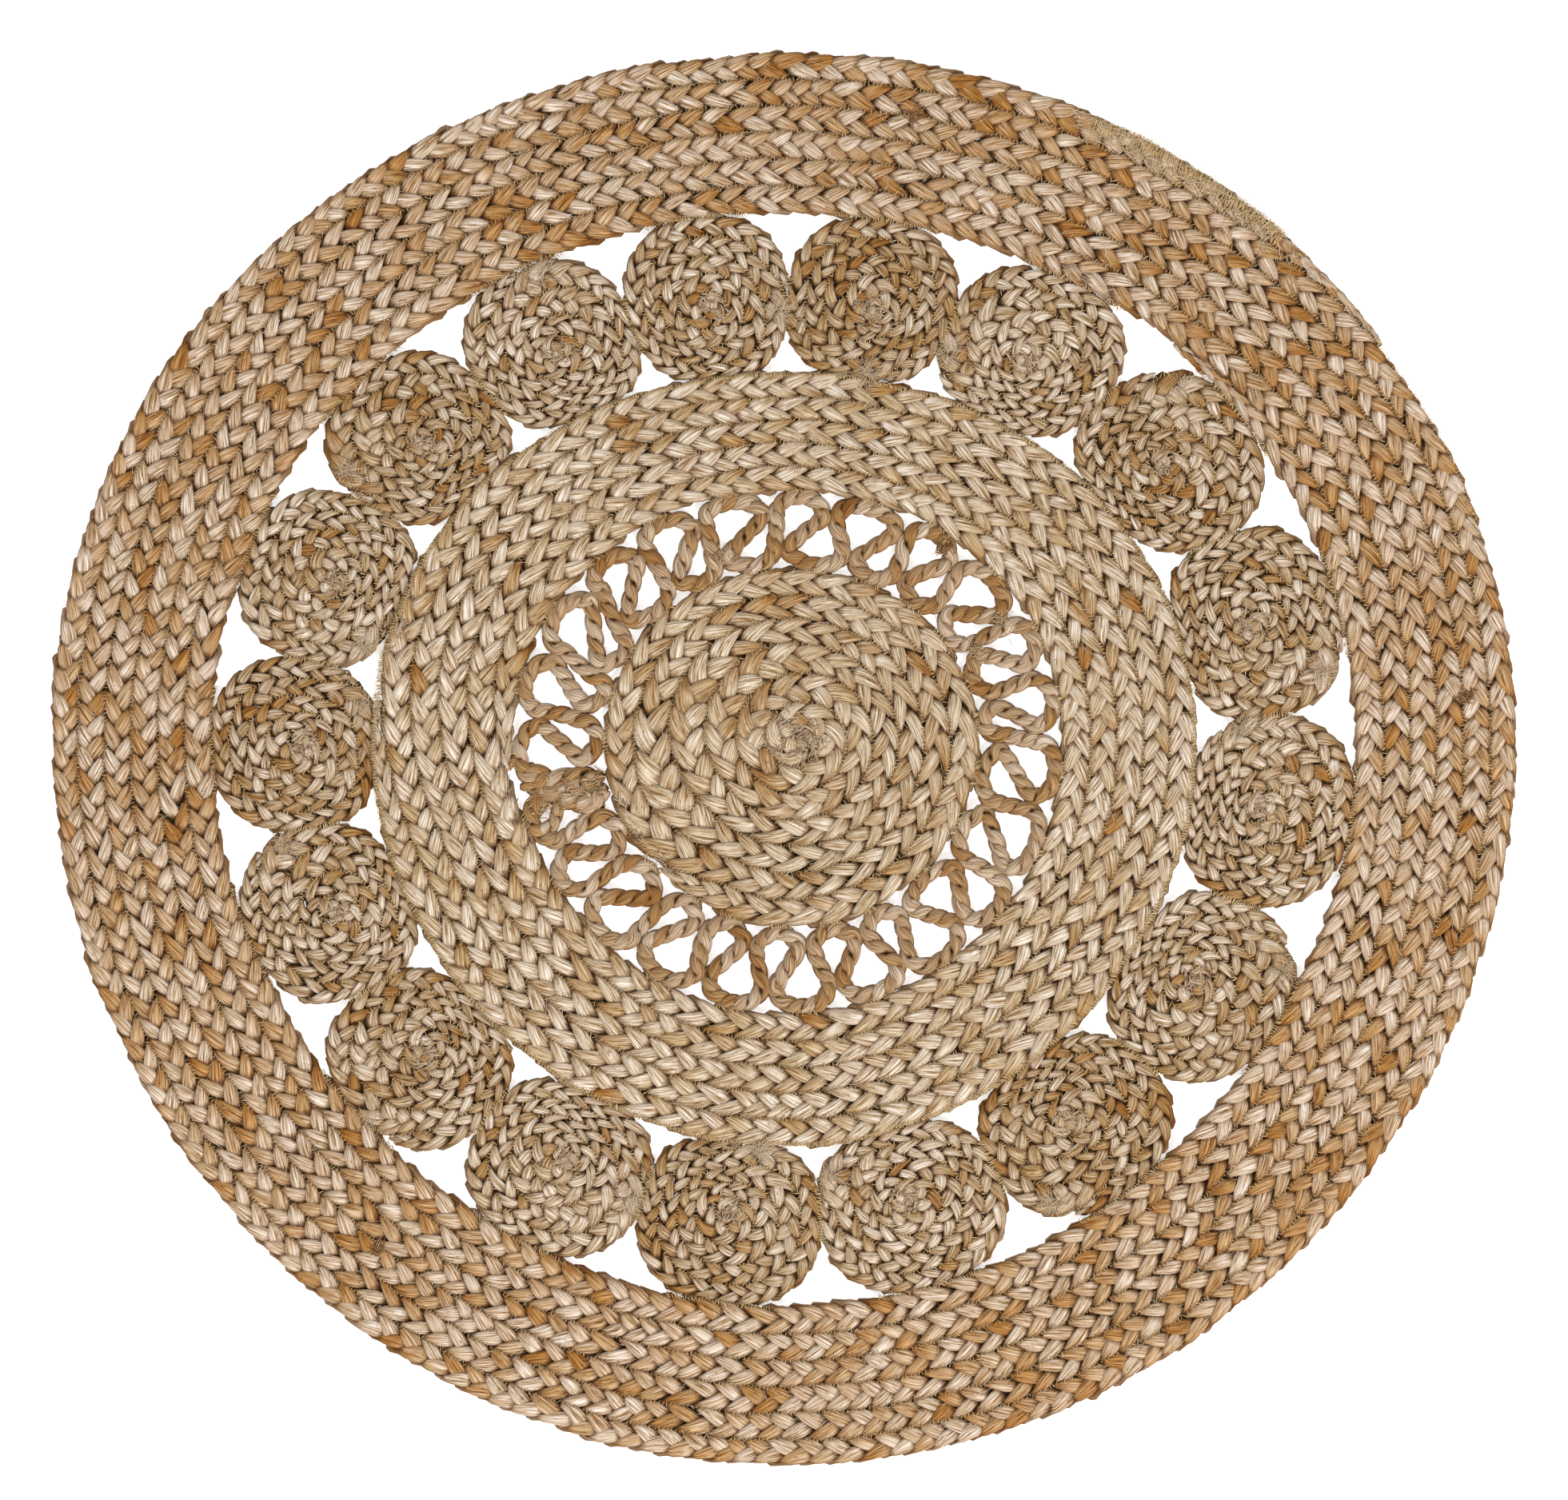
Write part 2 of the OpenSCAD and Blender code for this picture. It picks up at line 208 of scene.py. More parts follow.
class Shape:
    """Gathers tubes into the points, faces, fibre lengths and values of one mesh."""

    def __init__(self):
        self.points, self.quads, self.ends, self.uv, self.end_uv = [], [], [], [], []
        self.values, self.count = {}, 0

    def tubes(self, lines, wide, high, sides, roll=0.0, square=1.0, lumps=1.0, **values):
        """Sweeps an oval along each of m lines of n points: lines is (m, n, 3), and the widths,
        heights, rolls and values are (m, n). Both ends taper and are closed."""
        m, n = lines.shape[:2]
        taper = np.ones(n)
        taper[[0, -1]] = TIP
        wide, high = np.broadcast_to(wide, (m, n)) * taper, np.broadcast_to(high, (m, n)) * taper
        along = np.gradient(lines, axis=1)
        along /= np.linalg.norm(along, axis=2, keepdims=True) + 1e-9
        side = np.stack([along[..., 1], -along[..., 0], np.zeros((m, n))], -1)
        side /= np.linalg.norm(side, axis=2, keepdims=True) + 1e-9
        up = np.cross(side, along)
        turn = np.linspace(0, 2 * np.pi, sides, endpoint=False)
        c = np.sign(np.cos(turn)) * np.abs(np.cos(turn)) ** square
        q = np.sign(np.sin(turn)) * np.abs(np.sin(turn)) ** square
        roll = np.broadcast_to(roll, (m, n))[..., None]
        across = wide[..., None] / 2 * c * lumps
        above = high[..., None] / 2 * q * lumps
        x = across * np.cos(roll) - above * np.sin(roll)
        z = across * np.sin(roll) + above * np.cos(roll)
        ring = lines[:, :, None] + x[..., None] * side[:, :, None] + z[..., None] * up[:, :, None]
        k = np.arange(m * n * sides).reshape(m, n, sides) + self.count
        right = np.roll(k, -1, 2)
        faces = np.stack([k[:, :-1], right[:, :-1], right[:, 1:], k[:, 1:]], -1)
        step = np.linalg.norm(np.diff(lines, axis=1), axis=2)
        length = np.concatenate([np.zeros((m, 1)), np.cumsum(step, 1)], 1)
        length = length + np.arange(m)[:, None] * APART
        girth = (wide + high).mean(1)[:, None, None] * np.pi / 2
        v0 = np.arange(sides) / sides * girth
        v1 = np.arange(1, sides + 1) / sides * girth
        v0, v1 = np.broadcast_to(v0, (m, n, sides)), np.broadcast_to(v1, (m, n, sides))
        u = np.broadcast_to(length[..., None], (m, n, sides))
        uv = np.stack([u[:, :-1], v0[:, :-1], u[:, :-1], v1[:, :-1],
                       u[:, 1:], v1[:, 1:], u[:, 1:], v0[:, 1:]], -1)
        first, last = k[:, 0], k[:, -1]
        fan = [np.stack([first[:, :1] + 0 * first[:, 2:], first[:, 2:], first[:, 1:-1]], -1),
               np.stack([last[:, :1] + 0 * last[:, 2:], last[:, 1:-1], last[:, 2:]], -1)]
        ends = np.concatenate([f.reshape(-1, 3) for f in fan])
        self.points.append(ring.reshape(-1, 3))
        self.quads.append(faces.reshape(-1, 4))
        self.ends.append(ends)
        self.uv.append(uv.reshape(-1, 2))
        self.end_uv.append(np.zeros((ends.size, 2)))
        for key, value in values.items():
            value = np.asarray(value, float)
            if value.ndim == 2:
                value = value[..., None]
            value = np.broadcast_to(value, (m, n, sides))
            self.values.setdefault(key, []).append(value.reshape(-1))
        self.count += m * n * sides
        return ring

    def piece(self, name, material, slot, *nodes):
        """The finished object, which rides on the rug and stands for the CAD nodes."""
        values = {key: np.concatenate(parts) for key, parts in self.values.items()}
        points = np.concatenate(self.points)
        points[:, :2] += unevenness(points[:, :2])
        points[:, 2] = np.maximum(points[:, 2], LOWEST)
        mesh = new_mesh(name, points, np.concatenate(self.quads), np.concatenate(self.ends),
                        np.concatenate(self.uv + self.end_uv), values)
        mesh.materials.append(material)
        piece = bpy.data.objects.new(name, mesh)
        bpy.context.scene.collection.objects.link(piece)
        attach(piece, "root")
        if nodes:
            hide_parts(*nodes)
        return piece


# ---- Materials ----


def node(tree, kind, inputs=(), **settings):
    """A node with its settings, and with its inputs linked or set."""
    made = tree.nodes.new(kind)
    for key, value in settings.items():
        setattr(made, key, value)
    for key, value in dict(inputs).items():
        if isinstance(value, bpy.types.NodeSocket):
            tree.links.new(value, made.inputs[key])
        else:
            made.inputs[key].default_value = value
    return made


def ramp(tree, value, stops):
    """A colour ramp of (position, colour) stops."""
    made = node(tree, "ShaderNodeValToRGB", {"Fac": value})
    band = made.color_ramp.elements
    while len(band) < len(stops):
        band.new(0.5)
    for element, (position, colour) in zip(band, stops):
        element.position = position
        element.color = (*colour, 1)
    return made.outputs["Color"]


def tinted(tree, first, second, amount, blend="MIX"):
    """Two colours mixed by an amount."""
    made = node(tree, "ShaderNodeMix", data_type="RGBA", blend_type=blend)
    for key, value in (("Factor", amount), ("A", first), ("B", second)):
        socket = [s for s in made.inputs if s.name == key and s.enabled][0]
        if isinstance(value, bpy.types.NodeSocket):
            tree.links.new(value, socket)
        else:
            socket.default_value = (*value, 1) if isinstance(value, tuple) else value
    return [s for s in made.outputs if s.enabled][0]


def noise(tree, vector, scale, detail, stretch):
    """Noise over the fibre lengths, drawn out along them."""
    drawn = node(tree, "ShaderNodeMapping", {"Vector": vector, "Scale": stretch})
    made = node(
        tree, "ShaderNodeTexNoise", {"Vector": drawn.outputs[0], "Scale": scale, "Detail": detail}
    )
    return made.outputs["Fac"]


# Colours of the rare orange lobes, of the painted shade deep between lobes and the warm darkening
# that leads into it, of the thin cracks between fibres, and of the jute's shine and sheen
ORANGE = (0.30, 0.13, 0.03)
GAP_SHADE = (0.014, 0.007, 0.003)
GAP_SHADE_WARMTH = (0.8, 0.51, 0.25)
CRACK = (0.36, 0.24, 0.12)
SHINE = (1, 0.66, 0.34, 1)
SHEEN = (1, 0.78, 0.52, 1)
RIDGE_DEPTH = 0.8 * MM


def jute(name, streak, stops):
    """Jute fibre: a colour for each lobe, streaks and ridges along the fibres, painted shade in the
    gaps.
    streak is how far the colour drifts within a lobe, and stops are the colours from the palest
    lobes to the rare orange ones."""
    material = bpy.data.materials.new(name)
    material.use_nodes = True
    tree = material.node_tree
    shader = tree.nodes["Principled BSDF"]
    fibre = node(tree, "ShaderNodeUVMap", uv_map="fibre").outputs["UV"]
    tint = node(tree, "ShaderNodeAttribute", attribute_name="tint").outputs["Fac"]
    gap = node(tree, "ShaderNodeAttribute", attribute_name="gap").outputs["Fac"]
    fine = noise(tree, fibre, 1.0, 2.5, (0.07, 1.7, 1))
    broad = noise(tree, fibre, 1.0, 2, (0.04, 0.6, 1))
    split = noise(tree, fibre, 1.0, 1, (0.035, 0.8, 1))
    shifted = node(
        tree, "ShaderNodeMath", {0: broad, 1: streak, 2: tint}, operation="MULTIPLY_ADD"
    ).outputs[0]
    shifted = node(
        tree, "ShaderNodeMath", {0: shifted, 1: streak / 2}, operation="SUBTRACT"
    ).outputs[0]
    colour = ramp(tree, shifted, stops)
    # Fibre streaks of paler and darker fibres; the brightest stops lift and cool the colour past
    # the lobe's own and are partly painted highlight along the fibres
    lines = ramp(tree, fine, [
        (0.33, (0.34, 0.21, 0.10)),
        (0.45, (0.84, 0.76, 0.64)),
        (0.54, (1.06, 1.10, 1.16)),
        (0.68, (1.50, 1.70, 2.05)),
    ])
    colour = tinted(tree, colour, lines, 1.0, "MULTIPLY")
    cracks = ramp(tree, split, [(0.47, (1, 1, 1)), (0.486, CRACK), (0.502, (1, 1, 1))])
    colour = tinted(tree, colour, cracks, 0.9, "MULTIPLY")
    # Painted shade between the lobes: the shade mask warms and darkens the colour, then darkens it
    # to near black
    colour = tinted(tree, colour, GAP_SHADE_WARMTH, gap, "MULTIPLY")
    colour = tinted(tree, colour, GAP_SHADE, gap)
    ridges = node(tree, "ShaderNodeMath", {0: broad, 1: 0.6, 2: fine}, operation="MULTIPLY_ADD")
    bump = node(tree, "ShaderNodeBump",
                {"Height": ridges.outputs[0], "Strength": 0.55, "Distance": RIDGE_DEPTH})
    tree.links.new(colour, shader.inputs["Base Color"])
    tree.links.new(bump.outputs["Normal"], shader.inputs["Normal"])
    shader.inputs["Roughness"].default_value = 0.62
    shader.inputs["Specular IOR Level"].default_value = 0.25
    shader.inputs["Specular Tint"].default_value = SHINE
    shader.inputs["Sheen Weight"].default_value = 0.06
    shader.inputs["Sheen Tint"].default_value = SHEEN
    shader.inputs["Sheen Roughness"].default_value = 0.4
    return material


def thread(name, pale, dark):
    """Sewing thread and loose fibres: one colour that varies from stitch to stitch."""
    material = bpy.data.materials.new(name)
    material.use_nodes = True
    tree = material.node_tree
    shader = tree.nodes["Principled BSDF"]
    fibre = node(tree, "ShaderNodeUVMap", uv_map="fibre").outputs["UV"]
    tint = node(tree, "ShaderNodeAttribute", attribute_name="tint").outputs["Fac"]
    twist = noise(tree, fibre, 1.0, 2, (0.9, 1.5, 1))
    colour = ramp(tree, tint, [(0.0, pale), (1.0, dark)])
    lines = ramp(tree, twist, [(0.3, (0.7, 0.68, 0.65)), (0.6, (1.1, 1.1, 1.1))])
    colour = tinted(tree, colour, lines, 1.0, "MULTIPLY")
    bump = node(tree, "ShaderNodeBump", {"Height": twist, "Strength": 0.4, "Distance": 0.2 * MM})
    tree.links.new(colour, shader.inputs["Base Color"])
    tree.links.new(bump.outputs["Normal"], shader.inputs["Normal"])
    shader.inputs["Roughness"].default_value = 0.7
    shader.inputs["Specular IOR Level"].default_value = 0.3
    return material


OUTER = jute("jute_outer", 0.35, [
    (0.05, (0.545, 0.43, 0.325)), (0.45, (0.43, 0.28, 0.155)), (0.75, (0.375, 0.20, 0.075)),
    (1.0, ORANGE),
])
MIDDLE = jute("jute_middle", 0.3, [
    (0.05, (0.555, 0.455, 0.345)), (0.5, (0.45, 0.333, 0.205)), (0.8, (0.375, 0.225, 0.095)),
    (1.0, ORANGE),
])
DISC = jute("jute_disc", 0.3, [
    (0.05, (0.53, 0.43, 0.31)), (0.5, (0.43, 0.31, 0.188)), (0.8, (0.36, 0.22, 0.10)),
    (1.0, ORANGE),
])
ROSETTE = jute("jute_rosette", 0.3, [
    (0.05, (0.54, 0.44, 0.335)), (0.45, (0.39, 0.28, 0.17)), (0.75, (0.325, 0.185, 0.07)),
    (1.0, (0.26, 0.115, 0.03)),
])
LACE = jute("jute_lace", 0.3, [
    (0.05, (0.48, 0.37, 0.265)), (0.5, (0.36, 0.235, 0.13)), (0.8, (0.31, 0.17, 0.065)),
    (1.0, (0.25, 0.115, 0.035)),
])
THREAD = thread("sewing_thread", (0.74, 0.55, 0.29), (0.46, 0.31, 0.13))
FUZZ = thread("loose_fibre", (0.78, 0.66, 0.50), (0.55, 0.40, 0.24))
WAD = thread("matted_fibre", (0.50, 0.38, 0.26), (0.27, 0.17, 0.09))
KNOT = thread("knot_fibre", (0.36, 0.19, 0.07), (0.13, 0.06, 0.025))
SPLICED = thread("spliced_fibre", (0.56, 0.42, 0.27), (0.36, 0.20, 0.08))


# ---- Braids ----

# A coil's outer side is a free rim where it is within this many turns of the coil's edge, and its
# inner side where it is within this many of the seam's start
FREE_OUT, FREE_IN = 0.31, 0.02
# The share of a step in the seam over which the braid's end still goes on
TAIL_SHARE = 0.64
# How many turns out the shorter lobes at a coil's middle reach
TIGHT_TURNS = 1.5


class Coil:
    """A braid's way round its coil: middle, direction outwards and width, by length."""

    def __init__(self, place, turns, seam, start, first, sewn_from, tight=0.0):
        """first is how many turns in the strands can be told apart, sewn_from where the seam
        starts, and tight how much shorter the lobes are at the middle."""
        self.place, self.turns, self.seam, self.start = place, turns, seam, start
        self.sewn_from = sewn_from
        u = np.linspace(first, turns + TAIL_SHARE * STEP_SHARE, int(turns * 360))
        inner = np.where(u < 1, 0, seam(u - 1))
        outer = np.minimum(turns, seam(u))
        a = start - 360 * u
        low, high = place(inner, a), place(outer, a)
        self.middle = place((inner + outer) / 2, a)
        self.wide = np.linalg.norm(high - low, axis=1)
        self.out = (high - low) / (self.wide[:, None] + 1e-6)
        self.full = outer - inner
        self.rim_out = np.where(outer > turns - FREE_OUT, 1.0, 0.0)
        self.rim_in = np.where(inner < seam(first) + FREE_IN, 1.0, 0.0)
        step = np.linalg.norm(np.diff(self.middle, axis=0), axis=1)
        self.s = np.concatenate([[0], np.cumsum(step)])
        self.length = self.s[-1]
        short = 1 - tight * np.exp(-u / TIGHT_TURNS)
        self.lobes = np.concatenate([[0], np.cumsum(step / short[1:])])

    def along(self, s):
        """Middle, direction outwards, width, share of the full width, and whether its outer and
        inner sides are free, at length s."""
        pick = lambda v: np.interp(s, self.s, v)
        middle = np.stack([pick(self.middle[:, 0]), pick(self.middle[:, 1])], -1)
        out = np.stack([pick(self.out[:, 0]), pick(self.out[:, 1])], -1)
        out /= np.linalg.norm(out, axis=1, keepdims=True) + 1e-9
        return middle, out, pick(self.wide), pick(self.full), pick(self.rim_out), pick(self.rim_in)


RINGS_PER_LOBE = 7
STRAND_SIDES = 14
STRAND_SQUARE = 0.75

# A strand's width and height over its way: 0 where it comes up in the middle of the braid, 1 where
# it turns round the braid's edge, 2 where it comes up again for the other side. They are shares
# of the braid's width and height, and SHOWN is how much of the way's length the lobe on top takes.
WAY = [0, 0.3, 0.6, 0.85, 1.0, 1.15, 1.4, 2.0]
WAY_WIDE = [0.58, 0.61, 0.55, 0.43, 0.32, 0.66, 0.86, 0.70]
WAY_HIGH = [0.48, 0.48, 0.50, 0.56, 0.66, 0.58, 0.50, 0.48]
SHOWN = 1.36
# Where on its way a strand is on top, and the painted shade and highlight in its tint: lighter on
# the crest where it comes up, darker where it turns round the braid's edge
ABOVE_WAY, ABOVE = [0, 0.25, 1.0, 1.25, 1.75, 2], [0.5, 1, 1, 0, 0, 0.5]
SHADE_WAY, WAY_SHADE = [0, 0.3, 1.0, 1.2, 2], [-0.05, -0.12, 0.16, 0.1, -0.05]
TINT_DRIFT = 260.0

# The three strands' swing: the braid's width against its share of the coil, how far the strands
# swing from its middle and rise from its mid-height, and how near the swing is to a zigzag
PRESSED = 1.05
SWING, RISE = 0.42, 0.25
ZIGZAG = 0.95
# Handwork: how much the lobes' spacing, size, height, swing, place and roll vary
SPACING_VARY, SIZE_VARY, LOW_VARY = 0.3, 0.18, 0.12
SWING_VARY, PLACE_VARY, ROLL_VARY = 0.03, 0.025, 0.14
# How far a lobe rolls towards the braid's edge, and how far its bundles of fibres stand out
LOBE_ROLL, BUNDLE_VARY = 0.16, 0.06
# Where painted shade starts and how far it fades: down a lobe's sides, at the seams, and off free
# rims
DEEP_FADE = 0.24
SEAM_SHADE, SEAM_AT, SEAM_FADE = 0.75, 0.40, 0.12
RIM_AT, RIM_FADE, RIM_LESS_SHADE = 0.30, 0.15, 0.5


def lay_strand(shape, rng, coil, k, lobe, height, tints, fat, deep, pull):
    """Adds strand k of a three-strand flat braid along a coil to a shape.
    It swings from side to side while it goes over and under, once for every three lobes. fat is
    how wide its lobes are, deep how much of their sides is painted shade, and pull how far the
    sewing has pulled in the coil's inner and outer rims."""
    n = int(coil.length / lobe * RINGS_PER_LOBE)
    s = np.linspace(0, coil.length, n)
    middle, out, wide, full, rim_out, rim_in = coil.along(s)
    wide = wide * PRESSED
    count = np.interp(s, coil.s, coil.lobes) / lobe
    lobes = 2 / 3 * (count + SPACING_VARY * wander(tints["spacing"](), count, 2.5) + k)
    way = np.interp(2 * lobes % 2, [0, SHOWN, 2], [0, 1, 2])
    phase = np.pi * (np.floor(lobes) + way / 2)
    swell = 1 + SIZE_VARY * wander(rng, lobes + 0.25, 1.0)
    lift = 1 - LOW_VARY * np.abs(wander(rng, lobes + 0.25, 1.0))
    reach = SWING + SWING_VARY * wander(rng, lobes, 1.0)
    over = np.sin(2 * phase)
    over = np.sign(over) * np.abs(over) ** 0.8
    x = wide * reach * np.arcsin(ZIGZAG * np.sin(phase)) / math.asin(ZIGZAG)
    x += PLACE_VARY * lobe * wander(rng, lobes + 0.4, 1.0)
    x += pull[0] * rim_in * smooth(-3 * x / wide) - pull[1] * rim_out * smooth(3 * x / wide)
    tall = height * np.minimum(1, 0.25 + 0.75 * full)
    z = height / 2 + RISE * tall * over * lift
    line = np.column_stack([middle + out * x[:, None], z])[None]
    above = np.interp(way, ABOVE_WAY, ABOVE)
    w = wide * np.interp(way, WAY, WAY_WIDE) * swell * (1 + (fat - 1) * above)
    h = tall * np.interp(way, WAY, WAY_HIGH)
    roll = LOBE_ROLL * np.sin(phase) * over + ROLL_VARY * wander(rng, lobes + 0.25, 1.0)
    pick = rng.beta(*tints["spread"], int(lobes[-1]) + 3)
    rare = rng.random(len(pick)) < tints["rare"]
    pick = np.where(rare, rng.uniform(0.85, 1.05, len(pick)), pick)
    tint = pick[(lobes + 0.12).astype(int)] - 0.06 + tints["shift"]
    tint = tint + tints["drift"] * wander(rng, s, TINT_DRIFT)
    sides = range(STRAND_SIDES)
    bundles = np.stack([wander(rng, s, lobe * 0.7) for _ in sides], -1)
    lumps = 1 + BUNDLE_VARY * bundles[None]
    # Painted highlight on the crest where the strand comes up, painted shade where it turns round
    # the braid's edge
    tint = tint + np.interp(way, SHADE_WAY, WAY_SHADE)
    tint = tint[:, None] + 0.13 * np.stack([wander(rng, s, lobe * 0.6) for _ in sides], -1)
    swept = Shape().tubes(line, w, h, STRAND_SIDES, roll, STRAND_SQUARE, lumps)[0]
    # Painted shade mask: dark where the strand's surface lies near the braid's mid-height, darker
    # at the seams, lighter on free rims and over narrow wedges
    off = np.abs(swept[..., 2] - height / 2) / (tall[:, None] / 2)
    across = ((swept[..., :2] - middle[:, None]) * out[:, None]).sum(-1) / wide[:, None]
    free = smooth((across - RIM_AT) / RIM_FADE) * rim_out[:, None]
    free = np.maximum(free, smooth((-across - RIM_AT) / RIM_FADE) * rim_in[:, None])
    gap = 1 - smooth((off - deep) / DEEP_FADE)
    gap = np.maximum(gap, SEAM_SHADE * smooth((np.abs(across) - SEAM_AT) / SEAM_FADE))
    gap = gap * (1 - RIM_LESS_SHADE * free) * (0.2 + 0.8 * smooth(1.6 * full - 0.4)[:, None])
    shape.tubes(line, w, h, STRAND_SIDES, roll, STRAND_SQUARE, lumps,
                tint=tint[None], gap=gap[None])


def tint_plan(seed, spread, drift, rare, shift=0.0):
    """How a braid's lobes take their tints: the spread of their colours, a slow drift, the share
    of rare orange ones and a shift of all. The three strands share one spacing of the lobes."""
    return {"spread": spread, "drift": drift, "rare": rare, "shift": shift,
            "spacing": lambda: np.random.default_rng(seed)}


# ---- Stitches ----

# Heights of a stitch's ends and its middle, on top and underneath, as shares of the braid's height
SEAM_SIDES = [(0.72, 1.01), (0.28, 0.02)]
EDGE_SIDES = [(0.6, 0.95), (0.4, 0.05)]
SEAM_PITCH = 2.6
THREAD_SIDES = 3


def stitch(shape, rng, start, end, foot, crown, thick):
    """Adds m stitches, each an arc from its start to its end in plan, that dips into the jute
    at both ends. foot and crown are the heights of its ends and its middle."""
    m = len(start)
    t = np.array([0.0, 0.25, 0.75, 1.0])
    arch = np.array([0.0, 1.0, 1.0, 0.0])
    plan = start[:, None] + (end - start)[:, None] * t[None, :, None]
    lift = foot + (crown - foot) * arch[None] * rng.uniform(0.85, 1.1, (m, 1))
    lines = np.concatenate([plan, lift[..., None]], -1)
    tint = np.repeat(rng.random((m, 1)), 4, 1)
    shape.tubes(lines, thick * rng.uniform(0.8, 1.2, (m, 1)), thick, THREAD_SIDES, tint=tint)


def zigzag(shape, rng, points, out, reach, height, thick):
    """Uneven zigzag stitches along a seam, at its points and across it, on top and underneath."""
    m = len(points)
    along = np.gradient(points, axis=0)
    along /= np.linalg.norm(along, axis=1, keepdims=True)
    for foot, crown in SEAM_SIDES:
        lean = np.where(np.arange(m) % 2, 1, -1) * rng.uniform(0.0, 1.5, m)
        half = reach * rng.uniform(0.45, 1.0, m)
        here = points + along * rng.uniform(-0.8, 0.8, (m, 1))
        here = here + out * rng.uniform(-0.7, 0.7, (m, 1))
        slant = out * half[:, None] + along * lean[:, None]
        stitch(shape, rng, here - slant, here + slant, height * foot, height * crown, thick)


def overcast(shape, rng, place, where, low, high, height, spread, thick=0.5):
    """Dense uneven stitches across a contact: place gives the plan position of a distance across
    and a distance along, where holds the distances along, low and high are how far across a
    stitch goes, and spread is how much its slant varies."""
    m = len(where)
    for foot, crown in EDGE_SIDES:
        here = where + rng.uniform(-0.6, 0.6, m)
        lean = rng.normal(0.6, spread, m)
        top, end = low * rng.uniform(0.6, 1.15, m), high * rng.uniform(0.6, 1.15, m)
        stitch(shape, rng, place(top, here - lean), place(end, here + lean),
               height * foot, height * crown, thick)


def seam_line(coil, pitch):
    """Points along a coil's seam, a pitch apart, and the directions across it."""
    last = coil.turns - 1 + STEP_SHARE
    u = np.linspace(coil.sewn_from, last, int((last - coil.sewn_from) * 720))
    a = coil.start - 360 * u
    x = np.clip(coil.seam(u), 0.12, coil.turns - 0.12)
    p, q = coil.place(x, a), coil.place(x + 0.1, a)
    s = np.concatenate([[0], np.cumsum(np.linalg.norm(np.diff(p, axis=0), axis=1))])
    where = np.arange(0, s[-1], pitch)
    pick = lambda v: np.stack([np.interp(where, s, v[:, 0]), np.interp(where, s, v[:, 1])], -1)
    out = pick(q) - pick(p)
    return pick(p), out / np.linalg.norm(out, axis=1, keepdims=True)


def sew(name, seed, coil, height, reach, thick, node_name):
    """The sewing thread of one coil."""
    rng = np.random.default_rng(seed)
    shape = Shape()
    points, out = seam_line(coil, SEAM_PITCH)
    zigzag(shape, rng, points, out, reach, height, thick)
    return shape.piece(name, THREAD, "sewing_thread", node_name)


# ---- The disc and the rings ----

# How many turns in a coil's strands can be told apart, and where its seam's stitches start
DISC_START, RING_START = (0.15, 0.7), (0.043, 0.08)

disc = Coil(ring_place(0, DISC_R, DISC_TURNS), DISC_TURNS, disc_seam(DISC_TURNS), DISC_STEP,
            *DISC_START, 0.3)
middle = Coil(ring_place(MIDDLE_IN, MIDDLE_OUT, MIDDLE_TURNS), MIDDLE_TURNS, ring_seam,
              MIDDLE_STEP, *RING_START)
outer = Coil(ring_place(OUTER_IN, RUG_R, OUTER_TURNS), OUTER_TURNS, ring_seam,
             OUTER_STEP, *RING_START)

# Name, coil, lobe length, lobe width, depth of the painted shade, pull of the inner and the outer
# rim, material, its slot, and how the lobes take their tints
BANDS = [
    ("centre_disc", disc, 18.5, 0.93, 0.47, (0, 0.8), DISC, "jute_disc",
     tint_plan(3, (2.0, 2.9), 0.12, 0.012)),
    ("middle_ring", middle, 17.5, 0.98, 0.50, (0.8, 0.5), MIDDLE, "jute_middle",
     tint_plan(5, (1.7, 3.0), 0.12, 0.012)),
    ("outer_ring", outer, 15.5, 0.95, 0.52, (0.6, 2.2), OUTER, "jute_outer",
     tint_plan(7, (1.5, 2.3), 0.15, 0.04)),
]
for number, (name, coil, lobe, fat, deep, pull, material, slot, tints) in enumerate(BANDS):
    for k, letter in enumerate("abc"):
        shape = Shape()
        rng = np.random.default_rng(100 + 10 * number + k)
        lay_strand(shape, rng, coil, k, lobe, BRAID_H, tints, fat, deep, pull)
        shape.piece(f"{name}_strand_{letter}", material, slot, name)
    sew(f"{name}_stitches", 200 + number, coil, BRAID_H, 2.4, 0.45, f"{name}_thread")

# ---- The rosettes ----

ROSETTE_LOBE = 12.5
# Each rosette's coil starts this many degrees further round than the one before it
ROSETTE_STEP = 77
# How far each rosette's tint is shifted, browner above 0 and greyer below
TONES = [0, 0.05, -0.10, 0.22, 0.03, -0.08, 0.09, -0.05, 0.09, 0.04, 0.06, -0.06, 0.09, -0.03,
         0.20, 0, -0.02]
for i in range(ROSETTE_COUNT):
    name = f"rosette_{i + 1:02d}"
    coil = Coil(rosette_place(i), ROSETTE_TURNS, disc_seam(ROSETTE_TURNS), ROSETTE_STEP * i,
                *DISC_START, 0.2)
    tints = tint_plan(300 + i, (2.2, 3.4), 0.12, 0.03, TONES[i])
    shape = Shape()
    rng = np.random.default_rng(400 + i)
    for k in range(3):
        lay_strand(shape, rng, coil, k, ROSETTE_LOBE, ROSETTE_H, tints, 0.90, 0.55, (0.3, 0.3))
    shape.piece(f"{name}_braid", ROSETTE, "jute_rosette", name)
    sew(f"{name}_stitches", 500 + i, coil, ROSETTE_H, 2.3, 0.55, f"rosette_thread_{i + 1:02d}")

# ---- The lace ----

